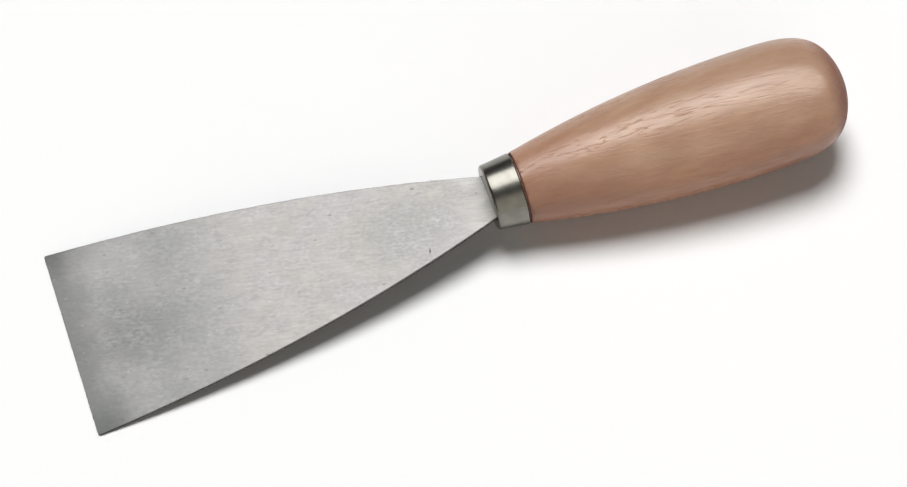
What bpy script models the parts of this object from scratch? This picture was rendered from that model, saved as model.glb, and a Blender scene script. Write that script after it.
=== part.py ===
"""Flexible putty knife: a taper ground spring steel blade, its tang bedded in a turned beech handle,
and a drawn steel ferrule over the joint. It lies as on a table, on its working edge and the handle's belly.

Metres, +Z up, blade towards -X. The origin is on the table under the middle of the knife's box.
The pieces are drawn about the handle's axis, with x = 0 at the ferrule's front face."""

import math

import bmesh
import bpy
import numpy as np
from mathutils import Matrix

# Blade
TIP_WIDTH = 0.0500
ROOT_WIDTH = 0.0118
BLADE_REACH = 0.1076
TIP_FLARE = math.radians(4.15)
ROOT_FLARE = math.radians(17.15)
CORNER_RADIUS = 0.0005
NECK_THICKNESS = 0.0012
TIP_THICKNESS = 0.0006
UNGROUND_LENGTH = 0.0180
BLADE_DROP = math.radians(2.9)

# Tang, on the same blank as the blade
TANG_WIDTH = 0.0070
TANG_END_WIDTH = 0.0045
TANG_LENGTH = 0.0520
NOTCH_COUNT = 3
NOTCH_WIDTH = 0.0030
NOTCH_DEPTH = 0.0007
NOTCH_PITCH = 0.0120
FIRST_NOTCH = 0.0160

# Ferrule
FERRULE_LENGTH = 0.0078
FERRULE_FRONT_RADIUS = 0.0082
FERRULE_REAR_RADIUS = 0.0091
FERRULE_WALL = 0.0006
LIP_RADIUS = 0.0007

# Handle
HANDLE_LENGTH = 0.0843
NECK_SLOPE = math.radians(12.15)
NECK_EDGE = 0.0003
BELLY_RADIUS = 0.0156
BUTT_LENGTH = 0.0244
BUTT_SHOULDER = 0.0118
BUTT_RIM = 0.0075
END_FACE_RADIUS = 0.0085
END_FACE_DOME = 0.0020

# Bedding and fits
CEMENT_WALL = 0.0009
SLOT_CLEARANCE = 0.0004
SEAT_GAP = 0.0003

# Facets
TURNED_STEPS = 64
SIDE_STEPS = 16
ARC_STEPS = 5
BELLY_STEPS = 18
BUTT_STEPS = 14
END_FACE_STEPS = 10
MERGE = 1e-6
CUT_OVERSHOOT = 0.0020

PARTS_COLLECTION = "flexible_putty_knife"
CUTTERS_COLLECTION = "cutters"


def clear_scene():
    for obj in list(bpy.data.objects):
        bpy.data.objects.remove(obj)


def collection(name):
    made = bpy.data.collections.new(name)
    bpy.context.scene.collection.children.link(made)
    return made


def srgb(red, green, blue):
    """An 8-bit screen colour as the linear colour that a shader takes."""
    share = np.array([red, green, blue]) / 255
    linear = np.where(share <= 0.04045, share / 12.92, ((share + 0.055) / 1.055) ** 2.4)
    return (*linear.tolist(), 1.0)


def finish(name, colour, roughness, metallic=0.0):
    material = bpy.data.materials.new(name)
    material.use_nodes = True
    shader = material.node_tree.nodes["Principled BSDF"]
    shader.inputs["Base Color"].default_value = colour
    shader.inputs["Roughness"].default_value = roughness
    shader.inputs["Metallic"].default_value = metallic
    return material


def bezier_points(start, start_handle, end_handle, end, steps):
    """Points of a cubic Bezier curve, both ends included."""
    t = np.linspace(0, 1, steps + 1)[:, None]
    weights = np.hstack([(1 - t) ** 3, 3 * t * (1 - t) ** 2, 3 * t**2 * (1 - t), t**3])
    return weights @ np.array([start, start_handle, end_handle, end])


def arc_points(centre, radius, first, last, steps=ARC_STEPS):
    """Points of an arc between two angles in degrees, both ends included."""
    angle = np.radians(np.linspace(first, last, steps + 1))
    return np.array(centre) + radius * np.column_stack([np.cos(angle), np.sin(angle)])


def place(obj, parent, into):
    into.objects.link(obj)
    obj.parent = parent
    return obj


def empty(name, parent, into):
    return place(bpy.data.objects.new(name, None), parent, into)


def turned(name, profile, parent, into):
    """A profile of (x, radius) points, listed from the handle's end forwards, turned about the x axis."""
    mesh = bpy.data.meshes.new(name)
    points = [(radius, 0.0, along) for along, radius in profile]
    mesh.from_pydata(points, [(i, i + 1) for i in range(len(points) - 1)], [])
    obj = place(bpy.data.objects.new(name, mesh), parent, into)
    obj.rotation_euler = (0, math.radians(90), 0)
    screw = obj.modifiers.new("turn", "SCREW")
    screw.axis = "Z"
    screw.angle = math.tau
    screw.steps = TURNED_STEPS
    screw.render_steps = TURNED_STEPS
    screw.use_merge_vertices = True
    screw.merge_threshold = MERGE
    screw.use_smooth_shade = True
    return obj


def flat(name, half_outline, thickness, parent, into):
    """A plate whose outline is given on its +y side and mirrored, as a welded mesh."""
    other_side = half_outline[::-1] * (1, -1)
    outline = np.vstack([half_outline, other_side])
    curve = bpy.data.curves.new(name, "CURVE")
    curve.dimensions = "2D"
    curve.fill_mode = "BOTH"
    curve.extrude = thickness / 2
    spline = curve.splines.new("POLY")
    spline.points.add(len(outline) - 1)
    for point, (x, y) in zip(spline.points, outline):
        point.co = (x, y, 0, 1)
    spline.use_cyclic_u = True
    drawn = bpy.data.objects.new(name + "_outline", curve)
    into.objects.link(drawn)
    graph = bpy.context.evaluated_depsgraph_get()
    mesh = bpy.data.meshes.new_from_object(drawn.evaluated_get(graph))
    bpy.data.objects.remove(drawn)
    mesh.name = name
    plate = bmesh.new()
    plate.from_mesh(mesh)
    bmesh.ops.remove_doubles(plate, verts=plate.verts, dist=MERGE)
    bmesh.ops.recalc_face_normals(plate, faces=plate.faces)
    plate.to_mesh(mesh)
    plate.free()
    return place(bpy.data.objects.new(name, mesh), parent, into)


def block(name, start, end, width, height, parent, into):
    """A box centred on the x axis, from x = start to x = end."""
    box = bmesh.new()
    size = Matrix.Diagonal((end - start, width, height, 1))
    bmesh.ops.create_cube(box, size=1, matrix=Matrix.Translation(((start + end) / 2, 0, 0)) @ size)
    mesh = bpy.data.meshes.new(name)
    box.to_mesh(mesh)
    box.free()
    return place(bpy.data.objects.new(name, mesh), parent, into)


def cut(obj, cutter):
    cutter.hide_render = True
    cutter.display_type = "WIRE"
    boolean = obj.modifiers.new("cut_" + cutter.name, "BOOLEAN")
    boolean.operation = "DIFFERENCE"
    boolean.solver = "EXACT"
    boolean.object = cutter


# Places along the handle's axis that more than one piece uses
TENON_FACE = FERRULE_WALL + SEAT_GAP
TANG_SHOULDER = TENON_FACE - SEAT_GAP
TANG_END = TANG_SHOULDER + TANG_LENGTH
HANDLE_SHOULDER = FERRULE_LENGTH + SEAT_GAP
BUTT_END = HANDLE_SHOULDER + HANDLE_LENGTH
FERRULE_TAPER = math.atan2(FERRULE_REAR_RADIUS - FERRULE_FRONT_RADIUS, FERRULE_LENGTH)

# The cement fills the blind slot round the tang, less the gaps
CEMENT_WIDTH = TANG_WIDTH + 2 * (SEAT_GAP + CEMENT_WALL)
CEMENT_HEIGHT = NECK_THICKNESS + 2 * (SEAT_GAP + CEMENT_WALL)
CEMENT_END = TANG_END + SEAT_GAP + CEMENT_WALL


def ferrule_radius(x):
    return FERRULE_FRONT_RADIUS + x * math.tan(FERRULE_TAPER)


def tenon_radius(x):
    return ferrule_radius(x) - (FERRULE_WALL + SEAT_GAP) / math.cos(FERRULE_TAPER)


def tang_half_outline(start, clearance=0.0):
    """The tang's +y side from x = start: a straight taper with square notches, grown by a clearance."""
    def half_width(x):
        share = (x - TANG_SHOULDER) / TANG_LENGTH
        return (TANG_WIDTH + share * (TANG_END_WIDTH - TANG_WIDTH)) / 2 + clearance

    side = [(start, half_width(start))]
    for i in range(NOTCH_COUNT):
        middle = TANG_SHOULDER + FIRST_NOTCH + i * NOTCH_PITCH
        for x, depths in (
            (middle - NOTCH_WIDTH / 2 + clearance, (0, NOTCH_DEPTH)),
            (middle + NOTCH_WIDTH / 2 - clearance, (NOTCH_DEPTH, 0)),
        ):
            side += [(x, half_width(x) - depth) for depth in depths]
    end = TANG_END + clearance
    return np.array(side + [(end, half_width(end))])


def blade_half_outline():
    """The working edge, its small corner, the convex flared side, the shoulder and the tang."""
    tip = -BLADE_REACH
    half_tip, half_root = TIP_WIDTH / 2, ROOT_WIDTH / 2
    third = (BLADE_REACH - CORNER_RADIUS) / 3
    side_start = np.array([tip + CORNER_RADIUS, half_tip])
    side_end = np.array([0, half_root])
    corner = arc_points((tip + CORNER_RADIUS, half_tip - CORNER_RADIUS), CORNER_RADIUS, 180, 90)
    side = bezier_points(
        side_start,
        side_start + third * np.array([1, -math.tan(TIP_FLARE)]),
        side_end + third * np.array([-1, math.tan(ROOT_FLARE)]),
        side_end,
        SIDE_STEPS,
    )
    shoulder = [(TANG_SHOULDER, half_root)]
    return np.vstack([corner, side[1:], shoulder, tang_half_outline(TANG_SHOULDER)])


def taper_grind(obj):
    """Thins the blade in a straight taper, from the unground neck to the working edge."""
    grind_start = -UNGROUND_LENGTH
    plate = bmesh.new()
    plate.from_mesh(obj.data)
    everything = plate.verts[:] + plate.edges[:] + plate.faces[:]
    bmesh.ops.bisect_plane(plate, geom=everything, dist=MERGE, plane_co=(grind_start, 0, 0), plane_no=(1, 0, 0))
    for vertex in plate.verts:
        share = max(0.0, (grind_start - vertex.co.x) / (BLADE_REACH - UNGROUND_LENGTH))
        vertex.co.z *= 1 + share * (TIP_THICKNESS / NECK_THICKNESS - 1)
    plate.to_mesh(obj.data)
    plate.free()


def ferrule_profile():
    """The cap's outer surface from its rear rim over the lip to the middle of its front face."""
    lip_end = LIP_RADIUS * (1 - math.sin(FERRULE_TAPER))
    lip_centre = (LIP_RADIUS, ferrule_radius(lip_end) - LIP_RADIUS * math.cos(FERRULE_TAPER))
    lip = arc_points(lip_centre, LIP_RADIUS, 90 + math.degrees(FERRULE_TAPER), 180)
    return np.vstack([[(FERRULE_LENGTH, FERRULE_REAR_RADIUS)], lip, [(0, 0)]])


def handle_profile():
    """The handle from its domed end face over the butt, the belly and the neck to the shoulder and the tenon."""
    belly_at = BUTT_END - BUTT_LENGTH
    neck_radius = FERRULE_REAR_RADIUS
    neck_at = HANDLE_SHOULDER + NECK_EDGE
    third = (belly_at - neck_at) / 3
    dome_radius = (END_FACE_RADIUS**2 + END_FACE_DOME**2) / (2 * END_FACE_DOME)
    lean = math.asin(END_FACE_RADIUS / dome_radius)
    end_face = arc_points((BUTT_END - dome_radius, 0), dome_radius, 0, math.degrees(lean), END_FACE_STEPS)
    butt = bezier_points(
        end_face[-1],
        end_face[-1] + BUTT_RIM * np.array([-math.sin(lean), math.cos(lean)]),
        (belly_at + BUTT_SHOULDER, BELLY_RADIUS),
        (belly_at, BELLY_RADIUS),
        BUTT_STEPS,
    )
    belly = bezier_points(
        (belly_at, BELLY_RADIUS),
        (belly_at - third, BELLY_RADIUS),
        (neck_at + third, neck_radius + third * math.tan(NECK_SLOPE)),
        (neck_at, neck_radius),
        BELLY_STEPS,
    )
    edge = [(HANDLE_SHOULDER, neck_radius - NECK_EDGE)]
    tenon = [(x, tenon_radius(x)) for x in (HANDLE_SHOULDER, TENON_FACE)]
    return np.vstack([end_face, butt[1:], belly[1:], edge, tenon, [(TENON_FACE, 0)]])


def make_blade(parent, parts):
    blade = flat("blade", blade_half_outline(), NECK_THICKNESS, parent, parts)
    taper_grind(blade)
    blade.data.materials.append(finish("ground_steel", srgb(168, 170, 167), 0.38, 1.0))


def make_ferrule(parent, blade_set, parts, cutters):
    ferrule = turned("ferrule", ferrule_profile(), parent, parts)
    wall = ferrule.modifiers.new("wall", "SOLIDIFY")
    wall.thickness = FERRULE_WALL
    wall.offset = -1
    wall.use_even_offset = True
    slot_width = ROOT_WIDTH + 2 * SLOT_CLEARANCE
    slot_height = NECK_THICKNESS + 2 * SLOT_CLEARANCE
    slot_end = FERRULE_WALL + CUT_OVERSHOOT
    cut(ferrule, block("blade_slot", -CUT_OVERSHOOT, slot_end, slot_width, slot_height, blade_set, cutters))
    ferrule.data.materials.append(finish("nickel_plate", srgb(176, 172, 158), 0.22, 1.0))


def make_handle(parent, blade_set, parts, cutters):
    handle = turned("handle", handle_profile(), parent, parts)
    slot_width = CEMENT_WIDTH + 2 * SEAT_GAP
    slot_height = CEMENT_HEIGHT + 2 * SEAT_GAP
    slot_start = TENON_FACE - CUT_OVERSHOOT
    slot_end = CEMENT_END + SEAT_GAP
    cut(handle, block("tang_slot", slot_start, slot_end, slot_width, slot_height, blade_set, cutters))
    handle.data.materials.append(finish("lacquered_beech", srgb(184, 146, 120), 0.34))


def make_tang_cement(parent, parts, cutters):
    cement = block("tang_cement", TENON_FACE, CEMENT_END, CEMENT_WIDTH, CEMENT_HEIGHT, parent, parts)
    bed = tang_half_outline(TENON_FACE - CUT_OVERSHOOT, SEAT_GAP)
    bed_height = NECK_THICKNESS + 2 * SEAT_GAP
    cut(cement, flat("tang_bed", bed, bed_height, parent, cutters))
    cement.data.materials.append(finish("cured_resin", srgb(92, 70, 48), 0.6))


def lay_on_table(knife, profile):
    """Tilts the knife to the line from the working edge's underside that touches the belly."""
    def blade_point(x, z):
        """A point on the blade's middle plane, seen from the handle's axis."""
        drop_cos, drop_sin = math.cos(BLADE_DROP), math.sin(BLADE_DROP)
        return x * drop_cos - z * drop_sin, x * drop_sin + z * drop_cos

    edge_x, edge_z = blade_point(-BLADE_REACH, -TIP_THICKNESS / 2)
    front_x, front_z = blade_point(-BLADE_REACH, TIP_THICKNESS / 2)
    along, radius = profile[:, 0], profile[:, 1]
    tilt = np.arctan2(radius + edge_z, along - edge_x).max()
    front = front_x * math.cos(tilt) - front_z * math.sin(tilt)
    back = (along * math.cos(tilt) + radius * math.sin(tilt)).max()
    lowest = edge_x * math.sin(tilt) + edge_z * math.cos(tilt)
    knife.rotation_euler = (0, -tilt, 0)
    knife.location = (-(front + back) / 2, 0, -lowest)


def main():
    clear_scene()
    parts = collection(PARTS_COLLECTION)
    cutters = collection(CUTTERS_COLLECTION)
    knife = empty("knife_at_rest", None, parts)
    blade_set = empty("blade_set", knife, parts)
    blade_set.rotation_euler = (0, -BLADE_DROP, 0)
    make_blade(blade_set, parts)
    make_ferrule(knife, blade_set, parts, cutters)
    make_handle(knife, blade_set, parts, cutters)
    make_tang_cement(blade_set, parts, cutters)
    lay_on_table(knife, handle_profile())


main()
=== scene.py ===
"""Looks of the flexible putty knife: ground steel blade, nickel plated ferrule, lacquered beech handle.

Metres, +Z up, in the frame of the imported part. Each new piece is a skin of rings: points worked out as
whole arrays on a grid of rows along the piece and columns round it. The rings are drawn about the
handle's axis, with x = 0 at the ferrule's front face, and then laid on the table as the part lies."""

import math

import bpy
import numpy as np
from mathutils import Matrix, Vector


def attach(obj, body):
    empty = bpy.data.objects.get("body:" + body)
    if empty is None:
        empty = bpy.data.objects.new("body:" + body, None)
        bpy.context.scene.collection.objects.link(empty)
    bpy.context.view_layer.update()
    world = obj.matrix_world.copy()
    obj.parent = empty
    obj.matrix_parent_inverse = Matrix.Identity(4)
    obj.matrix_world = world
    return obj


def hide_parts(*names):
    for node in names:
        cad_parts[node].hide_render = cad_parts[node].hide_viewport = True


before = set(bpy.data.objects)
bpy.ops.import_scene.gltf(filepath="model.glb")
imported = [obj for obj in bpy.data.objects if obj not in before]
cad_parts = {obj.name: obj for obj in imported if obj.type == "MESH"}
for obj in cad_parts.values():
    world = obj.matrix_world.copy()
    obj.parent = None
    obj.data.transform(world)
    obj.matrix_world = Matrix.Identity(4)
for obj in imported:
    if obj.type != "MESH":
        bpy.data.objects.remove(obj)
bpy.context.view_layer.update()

# The looks stay this far inside the solids' box
SKIN_INSET = 0.00002

# Blade
TIP_WIDTH = 0.0500
ROOT_WIDTH = 0.0118
BLADE_REACH = 0.1076 - SKIN_INSET
TIP_FLARE = math.radians(4.15)
ROOT_FLARE = math.radians(17.15)
CORNER_RADIUS = 0.0005
NECK_THICKNESS = 0.0012
TIP_THICKNESS = 0.0006
UNGROUND_LENGTH = 0.0180
BLADE_DROP = math.radians(2.9)
EDGE_ROUND = 0.00008

# Tang
TANG_WIDTH = 0.0070
TANG_END_WIDTH = 0.0045
TANG_LENGTH = 0.0520
NOTCH_COUNT = 3
NOTCH_WIDTH = 0.0030
NOTCH_DEPTH = 0.0007
NOTCH_PITCH = 0.0120
FIRST_NOTCH = 0.0160
NOTCH_DRAFT = 0.00004

# Ferrule
FERRULE_LENGTH = 0.0078
FERRULE_FRONT_RADIUS = 0.0082
FERRULE_REAR_RADIUS = 0.0091
FERRULE_WALL = 0.0006
LIP_RADIUS = 0.0007
REAR_RIM_RADIUS = 0.0005

# Handle
HANDLE_LENGTH = 0.0843 - SKIN_INSET
NECK_SLOPE = math.radians(12.15)
NECK_EDGE = 0.0003
BELLY_RADIUS = 0.0156 - SKIN_INSET
BUTT_LENGTH = 0.0244
BUTT_SHOULDER = 0.0118
BUTT_RIM = 0.0075
END_FACE_RADIUS = 0.0085
END_FACE_DOME = 0.0020

# Bedding and fits
CEMENT_WALL = 0.0009
SLOT_CLEARANCE = 0.0004
SEAT_GAP = 0.0003
SLOT_ROUNDING = 0.22

# Places along the handle's axis
TENON_FACE = FERRULE_WALL + SEAT_GAP
TANG_SHOULDER = FERRULE_WALL
TANG_END = TANG_SHOULDER + TANG_LENGTH
HANDLE_SHOULDER = FERRULE_LENGTH + SEAT_GAP
BUTT_END = HANDLE_SHOULDER + HANDLE_LENGTH
BELLY_AT = BUTT_END - BUTT_LENGTH
FERRULE_TAPER = math.atan2(FERRULE_REAR_RADIUS - FERRULE_FRONT_RADIUS, FERRULE_LENGTH)
TANG_SLOT_END = TANG_END + CEMENT_WALL + 2 * SEAT_GAP
TANG_SLOT_WIDTH = TANG_WIDTH + 2 * (CEMENT_WALL + 2 * SEAT_GAP)
TANG_SLOT_HEIGHT = NECK_THICKNESS + 2 * (CEMENT_WALL + 2 * SEAT_GAP)

# Fineness of the skins
BLADE_ROWS = 240
CORNER_ROWS = 6
FACE_COLUMNS = 49
EDGE_COLUMNS = 5
FERRULE_COLUMNS = 144
FRONT_FACE_ROWS = 8
LIP_ROWS = 12
CONE_ROWS = 24
REAR_RIM_ROWS = 4
HANDLE_COLUMNS = 160
BELLY_ROWS = 150
BUTT_ROWS = 60
END_FACE_ROWS = 24
NECK_EDGE_ROWS = 5
RESTING_ROWS = 400
SHARP_ANGLE = math.radians(38)

# Steel and plate
GRIND_ANGLE = math.radians(15)
STEEL_ROUGHNESS = 0.64
NICKEL_ROUGHNESS = 0.245

# Wood: where the tree's middle lies, the way, up and to the far side, of its painted light and shade, its
# year rings and its lacquer
PITH = (0.0, 0.034, -0.046)
UP_AND_FAR = (0.0, 0.5, 0.86)
GRAIN_ANGLE = math.radians(5)
RING_WIDTH = 0.0031
RING_SWAY = 0.0012
RING_LENGTHWISE = 0.06
LACQUER_ROUGHNESS = 0.29
LACQUER_GLOSS = 0.58

# Camera, as fitted to the photograph's outline on a frame of 907 x 487
FRAME_WIDTH = 907
SENSOR_WIDTH = 36
FOCAL_PIXELS = 2980.0
CAMERA_DISTANCE = 0.7355
CAMERA_YAW = math.radians(18.57)
CAMERA_ELEVATION = math.radians(64)
CAMERA_TARGET = (-0.0028, -0.0034, 0.0)

# Light, as directions from the camera's own heading
KEY_ELEVATION = math.radians(72.0)
KEY_HEADING = math.radians(17.8)
KEY_SPREAD = math.radians(27)
KEY_STRENGTH = 3.1
SOFTBOX_ELEVATION = math.radians(72)
SOFTBOX_HEADING = math.radians(-31.7)
SOFTBOX_TURN = math.radians(-30)
SOFTBOX_DISTANCE = 1.2
SOFTBOX_LENGTH = 2.4
SOFTBOX_WIDTH = 1.02
SOFTBOX_POWER = 33.6

# Room
ROOM_COLOUR = (0.07, 0.07, 0.07, 1)
WALL_COLOUR = (0.86, 0.81, 0.735, 1)
PAPER_COLOUR = (0.92, 0.92, 0.92, 1)
FLOOR_SIZE = 12


def bezier(start, start_handle, end_handle, end, share):
    """Points of a cubic Bezier curve at the given shares of its length, from its four Bernstein weights."""
    t = np.asarray(share)[:, None]
    weights = np.hstack([(1 - t) ** 3, 3 * t * (1 - t) ** 2, 3 * t**2 * (1 - t), t**3])
    return weights @ np.array([start, start_handle, end_handle, end])


def arc(centre, radius, first, last, steps):
    """Points of an arc between two angles in degrees: centre plus radius times cosine and sine."""
    angle = np.radians(np.linspace(first, last, steps + 1))
    return np.array(centre) + radius * np.column_stack([np.cos(angle), np.sin(angle)])


def handle_outline(belly_rows, butt_rows, end_rows):
    """The handle's outline as (x, radius), from the neck: the belly and the butt, two Bezier curves that
    share the level tangent at the thickest place, and the end face, an arc that carries on from the butt."""
    neck_at = HANDLE_SHOULDER + NECK_EDGE
    third = (BELLY_AT - neck_at) / 3
    belly = bezier(
        (neck_at, FERRULE_REAR_RADIUS),
        (neck_at + third, FERRULE_REAR_RADIUS + third * math.tan(NECK_SLOPE)),
        (BELLY_AT - third, BELLY_RADIUS),
        (BELLY_AT, BELLY_RADIUS),
        np.linspace(0, 1, belly_rows),
    )
    dome_radius = (END_FACE_RADIUS**2 + END_FACE_DOME**2) / (2 * END_FACE_DOME)
    lean = math.asin(END_FACE_RADIUS / dome_radius)
    end_face = arc((BUTT_END - dome_radius, 0), dome_radius, math.degrees(lean), 0, end_rows)
    butt = bezier(
        (BELLY_AT, BELLY_RADIUS),
        (BELLY_AT + BUTT_SHOULDER, BELLY_RADIUS),
        end_face[0] + BUTT_RIM * np.array([-math.sin(lean), math.cos(lean)]),
        end_face[0],
        np.linspace(0, 1, butt_rows),
    )
    return np.vstack([belly, butt[1:], end_face[1:]])


def turned_up(points, angle):
    """Points turned about the y axis so that +x rises by the angle: x cos - z sin, and x sin + z cos."""
    x, y, z = np.moveaxis(points, -1, 0)
    along = x * math.cos(angle) - z * math.sin(angle)
    up = x * math.sin(angle) + z * math.cos(angle)
    return np.stack([along, y, up], -1)


def rest_pose():
    """The tilt and place of the knife on the table: the line from the working edge's underside that touches
    the belly is level, and the box is centred over the origin."""
    along, radius = handle_outline(RESTING_ROWS, RESTING_ROWS, RESTING_ROWS).T
    edge_x, _, edge_z = turned_up(np.array([-BLADE_REACH, 0, -TIP_THICKNESS / 2]), BLADE_DROP)
    front = turned_up(np.array([-BLADE_REACH, 0, TIP_THICKNESS / 2]), BLADE_DROP)
    tilt = np.arctan2(radius + edge_z, along - edge_x).max()
    front_x = turned_up(front, tilt)[0]
    back_x = (along * math.cos(tilt) + radius * math.sin(tilt)).max()
    lowest = edge_x * math.sin(tilt) + edge_z * math.cos(tilt)
    return float(tilt), np.array([-(front_x + back_x) / 2, 0, -lowest])


TILT, PLACE = rest_pose()


def skin(name, rings, start_pole=None, end_pole=None, rings_close=False, **shares):
    """A closed mesh from rings of points, rows by columns, laid on the table: each row joins the next with
    quads, and a pole closes an end with triangles, or the last row joins the first. The sign of the volume
    turns the faces outwards. Shares are values per point, kept as named attributes."""
    rows, columns = rings.shape[:2]
    points = rings.reshape(-1, 3)
    values = {key: np.broadcast_to(value, (rows, columns)).reshape(-1) for key, value in shares.items()}
    index = np.arange(rows * columns).reshape(rows, columns)
    low = index if rings_close else index[:-1]
    high = np.roll(index, -1, 0)[: len(low)]
    quads = np.stack([low, np.roll(low, -1, 1), np.roll(high, -1, 1), high], -1).reshape(-1, 4)
    first, second, third = points[quads[:, 0]], points[quads[:, 1]], points[quads[:, 2]]
    outward = -1 if np.einsum("ij,ij->", first, np.cross(second, third)) < 0 else 1
    faces = quads[:, ::outward].tolist()
    for pole, row, order in ((start_pole, index[0], outward), (end_pole, index[-1], -outward)):
        if pole is not None:
            tip = np.full(columns, len(points))
            faces += np.stack([tip, np.roll(row, -1), row], -1)[:, ::order].tolist()
            points = np.vstack([points, pole])
            values = {key: np.append(value, value[row].mean()) for key, value in values.items()}
    mesh = bpy.data.meshes.new(name)
    mesh.from_pydata((turned_up(points, TILT) + PLACE).tolist(), [], faces)
    for key, value in values.items():
        mesh.attributes.new(key, "FLOAT", "POINT").data.foreach_set("value", value.astype(np.float32))
    mesh.shade_smooth()
    mesh.set_sharp_from_angle(angle=SHARP_ANGLE)
    made = bpy.data.objects.new(name, mesh)
    bpy.context.scene.collection.objects.link(made)
    return made


def slot_ring(x, width, height, columns):
    """A rounded slot's ring at x: a superellipse, the cosine and sine each raised to a small power, on the
    blade's own slope, so that its height leans with the drop of the blade."""
    angle = np.linspace(0, math.tau, columns, endpoint=False)
    side, rise = np.cos(angle), np.sin(angle)
    y = width / 2 * np.sign(side) * np.abs(side) ** SLOT_ROUNDING
    z = height / 2 * np.sign(rise) * np.abs(rise) ** SLOT_ROUNDING
    return np.column_stack([np.full(columns, x), y, z / math.cos(BLADE_DROP) + x * math.tan(BLADE_DROP)])


def turned_rings(profile, columns):
    """Rings of a turned piece: each (x, radius) of a profile carried round the axis by cosine and sine."""
    angle = np.linspace(0, math.tau, columns, endpoint=False)
    x = np.broadcast_to(profile[:, :1], (len(profile), columns))
    return np.stack([x, profile[:, 1:] * np.cos(angle), profile[:, 1:] * np.sin(angle)], -1)


def between(first, last, steps):
    """Rings on straight lines from one ring to another, the first left out and the last kept."""
    share = np.linspace(0, 1, steps + 1)[1:, None, None]
    return first + share * (last - first)


def blade_half_width(x):
    """Half the blade's width at x: a cubic that leaves the tip and the root at their own flares, rounded at
    the tip's corners by a quarter circle."""
    share = np.clip((x + BLADE_REACH - CORNER_RADIUS) / (BLADE_REACH - CORNER_RADIUS), 0, 1)
    third = (BLADE_REACH - CORNER_RADIUS) / 3
    half_tip, half_root = TIP_WIDTH / 2, ROOT_WIDTH / 2
    side = bezier(
        (half_tip,),
        (half_tip - third * math.tan(TIP_FLARE),),
        (half_root + third * math.tan(ROOT_FLARE),),
        (half_root,),
        share,
    )[:, 0]
    into_corner = np.clip(CORNER_RADIUS - (x + BLADE_REACH), 0, CORNER_RADIUS)
    return side - CORNER_RADIUS + np.sqrt(CORNER_RADIUS**2 - into_corner**2)


def blade_half_thickness(x):
    """Half the blade's thickness at x: even at the neck, then a straight taper to the working edge, whose
    arris is rounded by a quarter circle."""
    share = np.clip((-UNGROUND_LENGTH - x) / (BLADE_REACH - UNGROUND_LENGTH), 0, 1)
    half = (NECK_THICKNESS + share * (TIP_THICKNESS - NECK_THICKNESS)) / 2
    into_edge = np.clip(EDGE_ROUND - (x + BLADE_REACH), 0, EDGE_ROUND)
    return half - EDGE_ROUND + np.sqrt(EDGE_ROUND**2 - into_edge**2)


def tang_stations():
    """The tang as (x, half width): a straight taper from shoulder to end with square notches in both sides,
    whose walls lean by a slight draft."""
    middles = TANG_SHOULDER + FIRST_NOTCH + NOTCH_PITCH * np.arange(NOTCH_COUNT)
    square = NOTCH_WIDTH / 2 * np.array([-1, -1, 1, 1])
    draft = NOTCH_DRAFT / 2 * np.array([-1, 1, -1, 1])
    corners = middles[:, None] + square + draft
    depths = np.broadcast_to(NOTCH_DEPTH * np.array([0, 1, 1, 0]), corners.shape)
    x = np.concatenate([[TANG_SHOULDER + NOTCH_DRAFT], corners.ravel(), [TANG_END]])
    depth = np.concatenate([[0], depths.ravel(), [0]])
    share = (x - TANG_SHOULDER) / TANG_LENGTH
    return x, (TANG_WIDTH + share * (TANG_END_WIDTH - TANG_WIDTH)) / 2 - depth


def make_blade():
    """The blade and tang: at each station along x a flat ring, two faces joined by half-round edges of one
    radius. The rings are then turned up by the blade's drop."""
    tip_rows = -BLADE_REACH + EDGE_ROUND * (1 - np.cos(np.linspace(0, math.pi / 2, CORNER_ROWS)))
    corner_rows = -BLADE_REACH + np.linspace(EDGE_ROUND, CORNER_RADIUS, CORNER_ROWS)[1:]
    side_rows = np.linspace(-BLADE_REACH + CORNER_RADIUS, TANG_SHOULDER, BLADE_ROWS)[1:]
    blade_x = np.concatenate([tip_rows, corner_rows, side_rows])
    tang_x, tang_half = tang_stations()
    x = np.concatenate([blade_x, tang_x])
    half_width = np.concatenate([blade_half_width(np.minimum(blade_x, 0)), tang_half])
    half_thick = blade_half_thickness(x)
    face = np.linspace(1, -1, FACE_COLUMNS)
    level_face = np.zeros(FACE_COLUMNS)
    turn = np.radians(np.linspace(90, 270, EDGE_COLUMNS + 2))[1:-1]
    side = np.ones(EDGE_COLUMNS)
    across = np.concatenate([face, -side, -face, side])
    out = np.concatenate([level_face, np.cos(turn), level_face, -np.cos(turn)])
    up = np.concatenate([level_face + 1, np.sin(turn), level_face - 1, -np.sin(turn)])
    level = np.sign(np.round(up, 6))
    edge = np.minimum(EDGE_ROUND, half_thick)[:, None]
    y = across * (half_width[:, None] - edge) + edge * out
    z = level * (half_thick[:, None] - edge) + edge * up
    points = np.stack([np.broadcast_to(x[:, None], y.shape), y, z], -1)
    rings = turned_up(points, BLADE_DROP)
    start = turned_up(np.array([x[0], 0, 0]), BLADE_DROP)
    end = turned_up(np.array([x[-1], 0, 0]), BLADE_DROP)
    from_side = half_width[:, None] - np.abs(y)
    from_tip = (x + BLADE_REACH)[:, None]
    return skin("blade_ground", rings, start, end, from_side=from_side, from_tip=from_tip)


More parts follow.
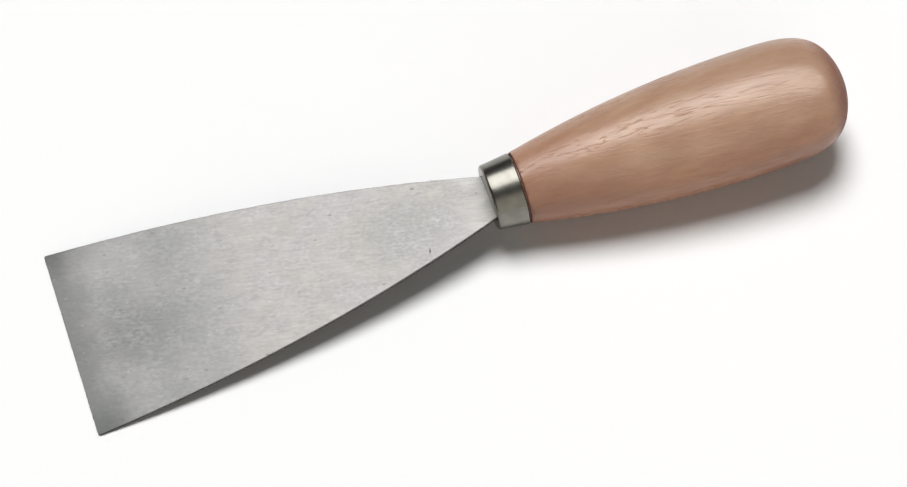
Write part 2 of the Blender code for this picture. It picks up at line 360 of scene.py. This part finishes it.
def make_ferrule():
    """The cap: its bore, the inside of its front wall, the slot, the front face, the rounded lip, the cone
    outside and the rounded rear rim. The rows run round the wall and close on themselves; the front wall's
    rings change from slot to circle."""
    slope = math.tan(FERRULE_TAPER)
    lip_end = LIP_RADIUS * (1 - math.sin(FERRULE_TAPER))
    lip_height = FERRULE_FRONT_RADIUS + slope * lip_end - LIP_RADIUS * math.cos(FERRULE_TAPER)
    lip = arc((LIP_RADIUS, lip_height), LIP_RADIUS, 180, 90 + math.degrees(FERRULE_TAPER), LIP_ROWS)
    cone_end = FERRULE_LENGTH - REAR_RIM_RADIUS
    cone_x = np.linspace(lip[-1, 0], cone_end, CONE_ROWS)[1:]
    cone = np.column_stack([cone_x, FERRULE_FRONT_RADIUS + slope * cone_x])
    rear = arc((cone_end, FERRULE_REAR_RADIUS - REAR_RIM_RADIUS), REAR_RIM_RADIUS, 90, 0, REAR_RIM_ROWS)
    wall = FERRULE_WALL / math.cos(FERRULE_TAPER)
    bore_rear = (FERRULE_LENGTH, FERRULE_REAR_RADIUS - wall)
    bore_front = (FERRULE_WALL, FERRULE_FRONT_RADIUS - wall)
    outside = turned_rings(np.vstack([lip, cone, rear[1:]]), FERRULE_COLUMNS)
    inside = turned_rings(np.array([bore_rear, bore_front]), FERRULE_COLUMNS)
    slot_size = (ROOT_WIDTH + 2 * SLOT_CLEARANCE, NECK_THICKNESS + 2 * SLOT_CLEARANCE)
    slot_back = slot_ring(FERRULE_WALL, *slot_size, FERRULE_COLUMNS)[None]
    slot_front = slot_ring(0.0, *slot_size, FERRULE_COLUMNS)[None]
    front = between(slot_front, outside[:1], FRONT_FACE_ROWS)[:-1]
    rings = np.concatenate([inside, slot_back, slot_front, front, outside])
    from_lip = np.abs(rings[..., 0] - LIP_RADIUS / 2)
    return skin("ferrule_nickel", rings, rings_close=True, from_lip=from_lip)


def make_handle():
    """The handle: the blind slot for the tang, the tenon, the shoulder's eased edge, the belly and the
    butt's dome. The slot's rings change to circles across the tenon's face."""
    outline = handle_outline(BELLY_ROWS, BUTT_ROWS, END_FACE_ROWS)
    edge_centre = (HANDLE_SHOULDER + NECK_EDGE, FERRULE_REAR_RADIUS - NECK_EDGE)
    edge = arc(edge_centre, NECK_EDGE, 180, 90, NECK_EDGE_ROWS)
    tenon_wall = (FERRULE_WALL + SEAT_GAP) / math.cos(FERRULE_TAPER)
    tenon_x = np.array([TENON_FACE, HANDLE_SHOULDER])
    tenon_radius = FERRULE_FRONT_RADIUS + tenon_x * math.tan(FERRULE_TAPER) - tenon_wall
    profile = np.vstack([np.column_stack([tenon_x, tenon_radius]), edge, outline[1:-1]])
    slot_size = (TANG_SLOT_WIDTH, TANG_SLOT_HEIGHT)
    slot_end = slot_ring(TANG_SLOT_END, *slot_size, HANDLE_COLUMNS)[None]
    slot_mouth = slot_ring(TENON_FACE, *slot_size, HANDLE_COLUMNS)[None]
    rings = np.concatenate([slot_end, slot_mouth, turned_rings(profile, HANDLE_COLUMNS)])
    start = np.array([TANG_SLOT_END, 0, TANG_SLOT_END * math.tan(BLADE_DROP)])
    end = np.array([BUTT_END, 0, 0])
    run = np.gradient(rings[..., 0], axis=0)
    rise = np.gradient(np.hypot(rings[..., 1], rings[..., 2]), axis=0)
    end_grain = np.abs(rise) / np.maximum(np.hypot(run, rise), 1e-9)
    from_neck = np.abs(rings[..., 0] - HANDLE_SHOULDER)
    return skin("handle_beech", rings, start, end, end_grain=end_grain, from_neck=from_neck)


def srgb(red, green, blue):
    """An 8-bit screen colour as the linear colour that a shader takes."""
    share = np.array([red, green, blue]) / 255
    linear = np.where(share <= 0.04045, share / 12.92, ((share + 0.055) / 1.055) ** 2.4)
    return (*linear.tolist(), 1.0)


def fill(tree, node, inputs):
    """A node's inputs, linked where the value is a socket and set where it isn't."""
    for key, value in inputs.items():
        if isinstance(value, bpy.types.NodeSocket):
            tree.links.new(value, node.inputs[key])
        else:
            node.inputs[key].default_value = value


def put(tree, kind, inputs, **settings):
    """A shader node with its settings and its inputs."""
    made = tree.nodes.new("ShaderNode" + kind)
    for key, value in settings.items():
        setattr(made, key, value)
    fill(tree, made, inputs)
    return made


def calc(tree, operation, first, second=0.0):
    """A sum on one or two numbers."""
    return put(tree, "Math", {0: first, 1: second}, operation=operation).outputs[0]


def times(tree, first, second):
    """The product of two numbers."""
    return calc(tree, "MULTIPLY", first, second)


def weighted(tree, first, first_weight, second, second_weight):
    """The sum of two numbers, each times its own weight."""
    return calc(tree, "ADD", times(tree, first, first_weight), times(tree, second, second_weight))


def fade(tree, value, start, end, low=0.0, high=1.0):
    """A smooth step from low to high as the value goes from start to end."""
    inputs = {"Value": value, "From Min": start, "From Max": end, "To Min": low, "To Max": high}
    return put(tree, "MapRange", inputs, interpolation_type="SMOOTHSTEP").outputs[0]


def mix(tree, share, first, second, blend="MIX"):
    """Two colours mixed, the second by its share."""
    inputs = {0: share, 6: first, 7: second}
    return put(tree, "Mix", inputs, data_type="RGBA", blend_type=blend).outputs[2]


def coats(tree, colour, layers):
    """A colour with others laid over it in turn: each mask times its weight is the share of its shade."""
    for mask, weight, shade in layers:
        colour = mix(tree, times(tree, mask, weight), colour, srgb(*shade))
    return colour


def vector(tree, operation, first, second=(0, 0, 0), result="Vector"):
    """A sum on one or two vectors, which gives a vector or a value."""
    return put(tree, "VectorMath", {0: first, 1: second}, operation=operation).outputs[result]


def toward(tree, place, direction):
    """How far a place lies in a direction: their dot product."""
    return vector(tree, "DOT_PRODUCT", place, direction, "Value")


def apart(tree, place, middle, scale):
    """How far a place lies from a middle, its x, y and z each first multiplied by a scale."""
    scaled = vector(tree, "MULTIPLY", vector(tree, "SUBTRACT", place, middle), scale)
    return vector(tree, "LENGTH", scaled, result="Value")


def stretched(tree, place, length):
    """A place with its x measured in a longer or shorter length, so that a pattern is drawn out along x."""
    return vector(tree, "MULTIPLY", place, (1 / length, 1.0, 1.0))


def swung(tree, place, angle):
    """A place turned by an angle about its own z axis."""
    return put(tree, "Mapping", {"Vector": place, "Rotation": (0, 0, angle)}).outputs[0]


def noise(tree, place, detail, roughness=0.5, scale=1.0):
    """Noise from 0 to 1, in octaves of a given number and strength."""
    inputs = {"Vector": place, "Scale": scale, "Detail": detail, "Roughness": roughness}
    return put(tree, "TexNoise", inputs).outputs[0]


def smudge(tree, place, middle, sizes):
    """A soft oval mark, full at its middle and gone at its half length, half width and half height."""
    far = apart(tree, place, middle, [1 / size for size in sizes])
    return fade(tree, far, 0.2, 1.0, 1.0, 0.0)


def group(name, numbers, result):
    """A node group that takes a vector and named numbers and gives one number, with its way in and out."""
    tree = bpy.data.node_groups.new(name, "ShaderNodeTree")
    tree.interface.new_socket("Vector", in_out="INPUT", socket_type="NodeSocketVector")
    for key in numbers:
        tree.interface.new_socket(key, in_out="INPUT", socket_type="NodeSocketFloat")
    tree.interface.new_socket(result, in_out="OUTPUT", socket_type="NodeSocketFloat")
    entry = tree.nodes.new("NodeGroupInput").outputs
    leave = tree.nodes.new("NodeGroupOutput").inputs[result]
    return tree, entry, leave


def use(tree, shared, place, **numbers):
    """What a shared group gives at a place, with a material's own numbers."""
    made = tree.nodes.new("ShaderNodeGroup")
    made.node_tree = shared
    fill(tree, made, {"Vector": place, **numbers})
    return made.outputs[0]


def in_patches(tree, entry):
    """A group's vector measured in patches of its own size: the vector divided by the patch."""
    scale = calc(tree, "DIVIDE", 1.0, entry["Patch"])
    inputs = {"Vector": entry["Vector"], "Scale": scale}
    return put(tree, "VectorMath", inputs, operation="SCALE").outputs[0]


def drawn_out(tree, entry):
    """A group's vector measured in its own length along x and its own width across it."""
    along = calc(tree, "DIVIDE", 1.0, entry["Length"])
    over = calc(tree, "DIVIDE", 1.0, entry["Width"])
    scale = put(tree, "CombineXYZ", {0: along, 1: over, 2: over}).outputs[0]
    return vector(tree, "MULTIPLY", entry["Vector"], scale)


def make_clouding():
    """Soft patches: three octaves of noise at one patch size, with the contrast raised."""
    tree, entry, leave = group("clouding", ["Patch"], "Cloud")
    patches = noise(tree, in_patches(tree, entry), 3.0)
    tree.links.new(fade(tree, patches, 0.3, 0.7), leave)
    return tree


def make_streaks():
    """Fine lines along x: two octaves of noise drawn out to a length and a width."""
    tree, entry, leave = group("streaks", ["Length", "Width"], "Streak")
    lines = noise(tree, drawn_out(tree, entry), 2.0, 0.6)
    tree.links.new(fade(tree, lines, 0.28, 0.72), leave)
    return tree


def make_specks():
    """Scattered marks: cells drawn out to a length and a width, a spot at the middle of a share of them.
    The spots differ in size, and each fades from a share of its reach outwards."""
    tree, entry, leave = group("specks", ["Length", "Width", "Size", "Share"], "Speck")
    cells = put(tree, "TexVoronoi", {"Vector": drawn_out(tree, entry), "Scale": 1.0}).outputs
    chance = put(tree, "SeparateColor", {0: cells["Color"]}).outputs
    chosen = calc(tree, "LESS_THAN", chance[0], entry["Share"])
    reach = times(tree, entry["Size"], calc(tree, "ADD", chance[1], 0.35))
    spot = fade(tree, cells["Distance"], times(tree, reach, 0.35), reach, 1.0, 0.0)
    tree.links.new(times(tree, spot, chosen), leave)
    return tree


def make_grooves():
    """Fine wavy lines along x: where a drawn-out noise crosses its middle value, kept only in patches."""
    tree, entry, leave = group("grooves", ["Length", "Width", "Line"], "Groove")
    place = drawn_out(tree, entry)
    off_middle = calc(tree, "ABSOLUTE", calc(tree, "SUBTRACT", noise(tree, place, 1.0, 0.4), 0.5))
    line = fade(tree, off_middle, 0.0, entry["Line"], 1.0, 0.0)
    kept = fade(tree, noise(tree, place, 1.0, scale=0.8), 0.45, 0.55)
    tree.links.new(times(tree, line, kept), leave)
    return tree


def make_edge_wear():
    """Wear that is full at an edge and gone at a reach from it, its border broken by noise."""
    tree, entry, leave = group("edge_wear", ["Distance", "Reach", "Patch"], "Wear")
    uneven = fade(tree, noise(tree, in_patches(tree, entry), 3.0), 0.25, 0.75, 0.35, 1.4)
    reach = times(tree, entry["Reach"], uneven)
    share = calc(tree, "DIVIDE", entry["Distance"], reach)
    tree.links.new(fade(tree, share, 0.0, 1.0, 1.0, 0.0), leave)
    return tree


CLOUDING = make_clouding()
STREAKS = make_streaks()
SPECKS = make_specks()
GROOVES = make_grooves()
EDGE_WEAR = make_edge_wear()


def material(name, metallic=0.0):
    """A new material, its node tree and its shader."""
    made = bpy.data.materials.new(name)
    made.use_nodes = True
    shader = made.node_tree.nodes["Principled BSDF"]
    shader.inputs["Metallic"].default_value = metallic
    return made, made.node_tree, shader


def surface(tree, shader, colour, roughness, height, strength, depth):
    """Colour, roughness and height led to a shader, the height as a bump of a strength and a depth."""
    bump = put(tree, "Bump", {"Strength": strength, "Distance": depth, "Height": height}).outputs[0]
    fill(tree, shader, {"Base Color": colour, "Roughness": roughness, "Normal": bump})


def knife_coordinates(tree, rise):
    """Object coordinates from the ferrule's front, turned by a rise so that x runs along the piece."""
    place = put(tree, "TexCoord", {}).outputs["Object"]
    inputs = {"Vector": place, "Location": PLACE.tolist(), "Rotation": (0, -rise, 0)}
    return put(tree, "Mapping", inputs, vector_type="TEXTURE").outputs[0]


def attribute(tree, name):
    """A piece's own value per point."""
    return put(tree, "Attribute", {}, attribute_name=name).outputs["Fac"]


def ground_steel():
    """Satin ground steel: darker grey towards the tip and brighter towards the root, the root's brightness
    painted light, with clouds, worn and rubbed patches, slanting grinding marks, pits, glints, a nick,
    painted shade along the side edges and an underside darkened as painted shade."""
    made, tree, shader = material("ground_steel", 1.0)
    place = knife_coordinates(tree, TILT + BLADE_DROP)
    grind = swung(tree, place, GRIND_ANGLE)
    drawn = stretched(tree, grind, 1.6)
    from_tip = attribute(tree, "from_tip")
    from_side = attribute(tree, "from_side")
    broad = use(tree, CLOUDING, place, Patch=0.014)
    small = use(tree, CLOUDING, place, Patch=0.0052)
    blotch = use(tree, CLOUDING, drawn, Patch=0.0030)
    mottle = use(tree, CLOUDING, drawn, Patch=0.0007)
    mottled = times(tree, mottle, fade(tree, small, 0.0, 1.0, 0.45, 1.0))
    mottle_weight = fade(tree, from_tip, 0.024, 0.056, 0.23, 0.33)
    fine = use(tree, STREAKS, grind, Length=0.0020, Width=0.00026)
    long = use(tree, STREAKS, grind, Length=0.0060, Width=0.0006)
    pits = use(tree, SPECKS, grind, Length=0.004, Width=0.0022, Size=0.16, Share=0.4)
    glints = use(tree, SPECKS, grind, Length=0.0022, Width=0.0012, Size=0.22, Share=0.25)
    # Painted light: brighter towards the root, where the blade's reflection of the ferrule would darken it.
    root = fade(tree, from_tip, 0.098, 0.1075)
    tip = use(tree, EDGE_WEAR, place, Patch=0.018, Distance=from_tip, Reach=0.014)
    near_tip = fade(tree, from_tip, 0.0, 0.016, 1.0, 0.0)
    near_side = fade(tree, from_side, 0.0, 0.010, 1.0, 0.0)
    corner = times(tree, near_tip, near_side)
    # Painted shade: a dark line along the blade's side edges.
    arris = fade(tree, from_side, 0.00003, 0.00010, 1.0, 0.0)
    nick = smudge(tree, grind, (-0.0151, -0.0128, 0.0), (0.00032, 0.0011, 0.01))
    worn = smudge(tree, place, (-0.0925, -0.0030, 0.0), (0.0185, 0.0130, 0.01))
    dull = smudge(tree, place, (-0.0220, -0.0010, 0.0), (0.0170, 0.0130, 0.01))
    rubbed = smudge(tree, place, (-0.0915, 0.0175, 0.0), (0.0130, 0.0085, 0.01))
    # Darker grey towards the tip.
    tip_grey = mix(tree, broad, srgb(129, 131, 131), srgb(166, 164, 164))
    middle = mix(tree, broad, srgb(170, 167, 168), srgb(190, 187, 182))
    bare = mix(tree, fade(tree, from_tip, 0.024, 0.052), tip_grey, middle)
    layers = (
        (root, 0.9, (212, 210, 205)),
        (small, 0.25, (136, 138, 138)),
        (blotch, 0.26, (140, 140, 139)),
        (worn, 0.75, (117, 119, 117)),
        (dull, 0.5, (145, 146, 144)),
        (rubbed, 0.2, (184, 183, 181)),
        (mottled, mottle_weight, (210, 207, 203)),
        (fine, 0.22, (206, 203, 200)),
        (long, 0.18, (132, 134, 134)),
        (tip, 0.6, (112, 114, 112)),
        (corner, 0.55, (94, 97, 94)),
        (glints, 0.12, (234, 233, 228)),
        (arris, 0.7, (79, 79, 75)),
        (pits, 0.4, (112, 109, 102)),
        (nick, 0.8, (69, 67, 62)),
    )
    # Painted shade: the underside is darkened, which deepens the shadow beside the blade on the floor.
    rise = put(tree, "SeparateXYZ", {0: place}).outputs[2]
    underside = fade(tree, rise, -0.0002, -0.0001, 1.0, 0.0)
    colour = mix(tree, underside, coats(tree, bare, layers), srgb(92, 91, 88), "MULTIPLY")
    roughness = calc(tree, "ADD", weighted(tree, broad, 0.06, fine, 0.08), STEEL_ROUGHNESS)
    height = calc(tree, "SUBTRACT", weighted(tree, fine, 0.6, long, 0.4), pits)
    surface(tree, shader, colour, roughness, height, 0.35, 0.00002)
    return made


def nickel_plate():
    """Nickel plate: warm grey with faint clouds, polishing lines round the axis, pits and a rubbed lip."""
    made, tree, shader = material("nickel_plate", 1.0)
    place = knife_coordinates(tree, TILT)
    polish = use(tree, STREAKS, stretched(tree, place, 0.05), Length=0.004, Width=0.006)
    cloud = use(tree, CLOUDING, place, Patch=0.003)
    pits = use(tree, SPECKS, place, Length=0.0012, Width=0.0012, Size=0.16, Share=0.18)
    from_lip = attribute(tree, "from_lip")
    lip = use(tree, EDGE_WEAR, place, Patch=0.0015, Distance=from_lip, Reach=0.0012)
    bare = mix(tree, cloud, srgb(122, 120, 113), srgb(132, 130, 123))
    layers = (
        (lip, 0.35, (100, 96, 87)),
        (pits, 0.8, (58, 54, 46)),
    )
    colour = coats(tree, bare, layers)
    roughness = calc(tree, "ADD", weighted(tree, polish, 0.01, cloud, 0.014), NICKEL_ROUGHNESS)
    height = calc(tree, "SUBTRACT", times(tree, polish, 0.5), pits)
    surface(tree, shader, colour, roughness, height, 0.1, 0.00001)
    return made


def lacquered_beech():
    """Lacquered beech: red brown below through pale to brown above, the brown top painted shade and the pale
    band below it partly painted light, with year rings round the pith, fibres, grooves, pores and flecks
    along the grain, a stained neck, painted shade on the far side and low towards the butt, and dark end
    grain, darker still on the butt's rim as painted shade.
    The lacquer is dull over the grooves and the end grain."""
    made, tree, shader = material("lacquered_beech")
    shader.inputs["Specular IOR Level"].default_value = LACQUER_GLOSS
    place = knife_coordinates(tree, TILT)
    grain = swung(tree, place, GRAIN_ANGLE)
    from_neck = attribute(tree, "from_neck")
    end_grain = attribute(tree, "end_grain")
    up_and_far = toward(tree, place, UP_AND_FAR)
    across = put(tree, "SeparateXYZ", {0: place}).outputs[1]
    cloud = use(tree, CLOUDING, stretched(tree, place, 3.0), Patch=0.008)
    blotch = use(tree, CLOUDING, stretched(tree, place, 2.2), Patch=0.0040)
    fibre = use(tree, STREAKS, grain, Length=0.009, Width=0.0006)
    ripple = use(tree, STREAKS, grain, Length=0.007, Width=0.0012)
    grooves = use(tree, GROOVES, grain, Length=0.0095, Width=0.00065, Line=0.085)
    pores = use(tree, SPECKS, grain, Length=0.0036, Width=0.00036, Size=0.4, Share=0.25)
    flecks = use(tree, SPECKS, grain, Length=0.006, Width=0.0014, Size=0.34, Share=0.3)
    from_pith = apart(tree, place, PITH, (RING_LENGTHWISE, 1.0, 1.0))
    swayed = calc(tree, "ADD", from_pith, times(tree, cloud, RING_SWAY))
    year = calc(tree, "FRACT", calc(tree, "DIVIDE", swayed, RING_WIDTH))
    late = times(tree, fade(tree, year, 0.1, 0.65), fade(tree, year, 0.65, 1.0, 1.0, 0.0))
    # Painted shade: the handle darker towards its far side.
    painted_shade_far_side = fade(tree, across, 0.0075, 0.0150)
    near_neck = fade(tree, from_neck, 0.004, 0.034, 1.0, 0.0)
    neck = times(tree, near_neck, fade(tree, up_and_far, -0.004, 0.008, 1.0, 0.65))
    # Painted shade: darker low on the handle towards the butt.
    belly = times(tree, fade(tree, up_and_far, -0.002, -0.012), fade(tree, from_neck, 0.044, 0.066))
    # The end grain is darker of itself, and on the butt's rim this darkening is also painted shade.
    ends = fade(tree, end_grain, 0.3, 0.85)
    stain = use(tree, EDGE_WEAR, place, Patch=0.002, Distance=from_neck, Reach=0.0011)
    under = mix(tree, cloud, srgb(166, 114, 83), srgb(156, 104, 75))
    red = mix(tree, cloud, srgb(186, 133, 95), srgb(176, 123, 87))
    pale = mix(tree, cloud, srgb(191, 155, 128), srgb(180, 144, 118))
    brown = mix(tree, cloud, srgb(174, 141, 116), srgb(164, 131, 107))
    # Painted light and shade round the handle: pale as painted light lower down, brown on top as painted
    # shade.
    bare = mix(tree, fade(tree, up_and_far, -0.008, -0.001), under, red)
    bare = mix(tree, fade(tree, up_and_far, -0.003, 0.006), bare, pale)
    bare = mix(tree, fade(tree, up_and_far, 0.009, 0.015), bare, brown)
    layers = (
        (painted_shade_far_side, 0.45, (122, 88, 68)),
        (late, 0.25, (160, 116, 91)),
        (blotch, 0.32, (148, 104, 79)),
        (fibre, 0.10, (210, 175, 148)),
        (pores, 0.12, (112, 72, 52)),
        (flecks, 0.12, (140, 94, 70)),
        (grooves, 0.07, (120, 80, 58)),
        (neck, 0.7, (142, 94, 72)),
        (belly, 0.5, (126, 78, 56)),
        (ends, 0.85, (118, 66, 46)),
        (stain, 0.7, (92, 48, 34)),
    )
    colour = coats(tree, bare, layers)
    thirsty = fade(tree, end_grain, 0.38, 0.75, 0.0, 0.36)
    open_grain = times(tree, grooves, fade(tree, from_neck, 0.040, 0.066, 0.55, 0.22))
    roughness = calc(tree, "ADD", calc(tree, "ADD", open_grain, thirsty), LACQUER_ROUGHNESS)
    raised = weighted(tree, fibre, 0.05, ripple, 0.6)
    sunk = weighted(tree, grooves, 0.65, pores, 0.25)
    surface(tree, shader, colour, roughness, calc(tree, "SUBTRACT", raised, sunk), 0.7, 0.00004)
    return made


def cured_resin():
    """Cured resin: a clouded brown with bubbles."""
    made, tree, shader = material("cured_resin")
    place = knife_coordinates(tree, TILT)
    cloud = use(tree, CLOUDING, place, Patch=0.002)
    bubbles = use(tree, SPECKS, place, Length=0.0012, Width=0.0012, Size=0.3, Share=0.4)
    bare = mix(tree, cloud, srgb(92, 70, 48), srgb(112, 88, 62))
    colour = mix(tree, bubbles, bare, srgb(60, 44, 30))
    roughness = fade(tree, cloud, 0.0, 1.0, 0.5, 0.7)
    surface(tree, shader, colour, roughness, calc(tree, "SUBTRACT", cloud, bubbles), 0.4, 0.0001)
    return made


def dress(piece, node, finish):
    """A finished piece takes a node's place, with its material."""
    piece.data.materials.append(finish)
    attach(piece, "root")
    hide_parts(node)


def heading(turn, elevation):
    """A direction at an elevation, turned to the left of the camera's own heading away from it."""
    angle = turn - CAMERA_YAW
    level = math.cos(elevation)
    return Vector((-math.sin(angle) * level, math.cos(angle) * level, math.sin(elevation)))


def aim(obj, place, target, right):
    """An object put at a place, looking at a target, with its own right side towards a direction."""
    back = (place - target).normalized()
    across = (right - right.dot(back) * back).normalized()
    obj.location = place
    obj.rotation_euler = Matrix((across, back.cross(across), back)).transposed().to_euler()
    bpy.context.scene.collection.objects.link(obj)
    return obj


def make_camera():
    """The camera, as far off, as high and as long in the lens as the photograph's outline asks."""
    lens = bpy.data.cameras.new("camera")
    lens.sensor_width = SENSOR_WIDTH
    lens.sensor_fit = "HORIZONTAL"
    lens.lens = SENSOR_WIDTH * FOCAL_PIXELS / FRAME_WIDTH
    lens.clip_start = 0.01
    target = Vector(CAMERA_TARGET)
    place = target + CAMERA_DISTANCE * heading(math.pi, CAMERA_ELEVATION)
    right = heading(-math.pi / 2, 0.0)
    bpy.context.scene.camera = aim(bpy.data.objects.new("camera", lens), place, target, right)


def make_light():
    """A wide, soft key light that casts the shadow, and a long softbox that shows only in reflections."""
    middle = Vector((0, 0, 0))
    along = Vector((1, 0, 0))
    key = bpy.data.lights.new("key", "SUN")
    key.angle = KEY_SPREAD
    key.energy = KEY_STRENGTH
    key_place = heading(KEY_HEADING, KEY_ELEVATION)
    key_light = aim(bpy.data.objects.new("key", key), key_place, middle, along)
    key_light.visible_glossy = False
    softbox = bpy.data.lights.new("softbox", "AREA")
    softbox.shape = "RECTANGLE"
    softbox.size = SOFTBOX_LENGTH
    softbox.size_y = SOFTBOX_WIDTH
    softbox.energy = SOFTBOX_POWER
    box_place = SOFTBOX_DISTANCE * heading(SOFTBOX_HEADING, SOFTBOX_ELEVATION)
    box_along = Matrix.Rotation(SOFTBOX_TURN, 3, box_place) @ (along - along.project(box_place))
    box_light = aim(bpy.data.objects.new("softbox", softbox), box_place, middle, box_along)
    box_light.visible_diffuse = False


def make_world():
    """A dim room, with a warm, light wall on the knife's near side that fades out towards both its ends."""
    world = bpy.data.worlds.new("studio")
    bpy.context.scene.world = world
    world.use_nodes = True
    tree = world.node_tree
    way = put(tree, "TexCoord", {}).outputs["Generated"]
    near = fade(tree, toward(tree, way, (0, -1, 0)), 0.42, 0.80)
    along = calc(tree, "ABSOLUTE", toward(tree, way, (1, 0, 0)))
    wall = times(tree, near, fade(tree, along, 0.28, 0.50, 1.0, 0.0))
    colour = mix(tree, wall, ROOM_COLOUR, WALL_COLOUR)
    tree.links.new(colour, tree.nodes["Background"].inputs["Color"])


def make_floor():
    """A plain floor of white paper without gloss."""
    bpy.ops.mesh.primitive_grid_add(x_subdivisions=8, y_subdivisions=8, size=FLOOR_SIZE)
    floor = bpy.context.object
    floor.name = "floor"
    paper, _, shader = material("white_paper")
    shader.inputs["Base Color"].default_value = PAPER_COLOUR
    shader.inputs["Roughness"].default_value = 0.9
    shader.inputs["Specular IOR Level"].default_value = 0.0
    floor.data.materials.append(paper)


def main():
    """The pieces, dressed in their materials, and the studio round them."""
    dress(make_blade(), "blade", ground_steel())
    dress(make_ferrule(), "ferrule", nickel_plate())
    dress(make_handle(), "handle", lacquered_beech())
    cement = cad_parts["tang_cement"]
    cement.data.materials.clear()
    cement.data.materials.append(cured_resin())
    make_camera()
    make_light()
    make_world()
    make_floor()
    bpy.context.scene.view_settings.view_transform = "Standard"


main()
